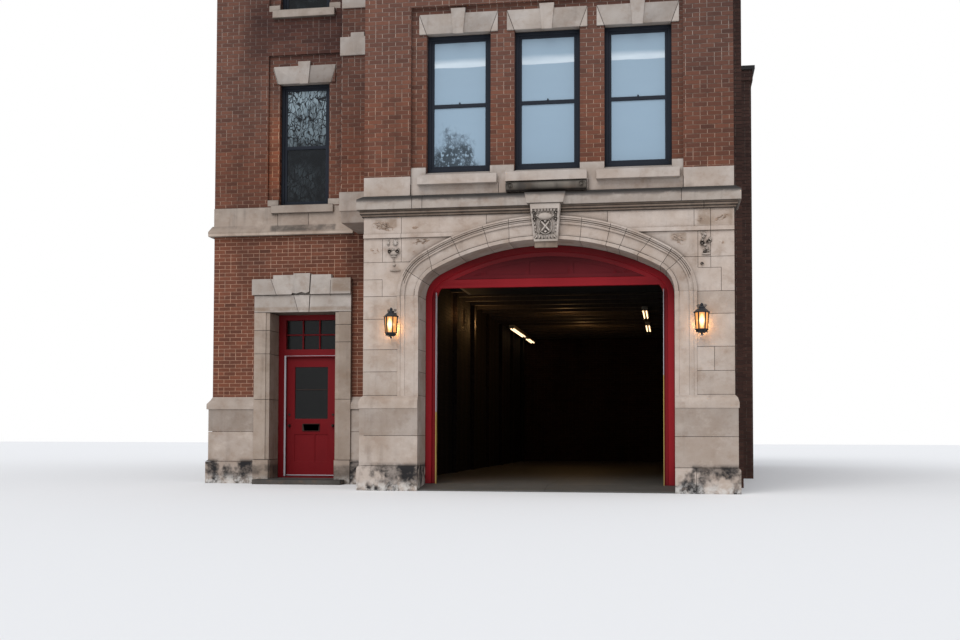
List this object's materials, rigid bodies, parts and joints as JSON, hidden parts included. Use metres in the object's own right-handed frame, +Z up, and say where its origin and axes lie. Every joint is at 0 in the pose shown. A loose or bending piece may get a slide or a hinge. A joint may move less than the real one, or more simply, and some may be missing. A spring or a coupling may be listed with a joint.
{
  "type": "fire station building",
  "caption": "Brick and limestone fire station: a projecting bay with an arched apparatus doorway, sash windows above, and a wing with a panelled entrance door.",
  "frame": {"origin": "underside of the ground floor slab, on the apparatus doorway's centre line and the front plane of the main body", "axes": "+Z up; -Y towards the street, along the doorway's axis; +X to the right of someone facing the building"},
  "size_m": [10.8, 20.42, 13.29],
  "materials": {
    "brick": "rough fired clay with pale mortar",
    "limestone": "dressed limestone, weathered",
    "concrete": "trowelled concrete",
    "red_paint": "semi-gloss red paint",
    "window_paint": "dark blue-grey paint",
    "glass": "clear window glass",
    "door_glass": "dark door glass",
    "blind_cloth": "pale woven blind",
    "steel_door": "grey painted steel",
    "galvanised": "galvanised steel",
    "black_iron": "black painted iron",
    "door_hardware": "worn satin metal",
    "timber": "aged timber",
    "light_casing": "white enamel",
    "cornice_metal": "painted sheet metal, stone coloured",
    "cap_metal": "dark sheet metal",
    "roofing": "black roofing membrane"
  },
  "bodies": {
    "building": {"floor_slab": "concrete", "wing_wall_left": "brick", "wing_wall_right": "brick", "wing_wall_upper": "brick", "left_wall": "brick", "right_wall": "brick", "rear_wall": "brick", "bay_left_wall": "brick", "bay_right_wall": "brick", "bearing_wall": "brick", "left_pier": "limestone", "right_pier": "limestone", "arch_wall": "limestone", "arch_ring": "limestone", "keystone": "limestone", "bay_cornice": "limestone", "bay_sill_course": "limestone", "bay_second_floor_wall": "brick", "bay_third_floor_wall": "brick", "top_cornice": "cornice_metal", "parapet_coping": "limestone", "wing_belt_course": "limestone", "wing_base_course": "limestone", "corner_strip": "brick", "corner_strip_stones": "limestone", "door_surround": "limestone", "side_door_frame": "red_paint", "transom_glass": "door_glass", "door_step": "limestone", "side_door_hinges": "door_hardware", "apparatus_door_frame": "red_paint", "tympanum": "red_paint", "overhead_door": "steel_door", "overhead_door_tracks": "galvanised", "front_window_frames": "window_paint", "front_window_glass": "glass", "front_window_blinds": "blind_cloth", "side_window_frames": "window_paint", "side_window_glass": "glass", "window_sills": "limestone", "window_lintels": "limestone", "second_floor": "timber", "third_floor": "timber", "roof_deck": "roofing", "ceiling_joists": "timber", "ceiling_lights": "light_casing", "lanterns": "black_iron", "chimney_breast": "brick", "chimney_cap": "cap_metal"},
    "side_door": {"side_door": "red_paint", "side_door_glass": "door_glass", "side_door_hardware": "door_hardware"}
  },
  "joints": [
    {"name": "side_door_hinge", "type": "hinge", "parent": "building", "child": "side_door", "pos_m": [-5.423, 0.569, 1.3], "axis": [0, 0, 1], "range_deg": [0, 95]}
  ]
}
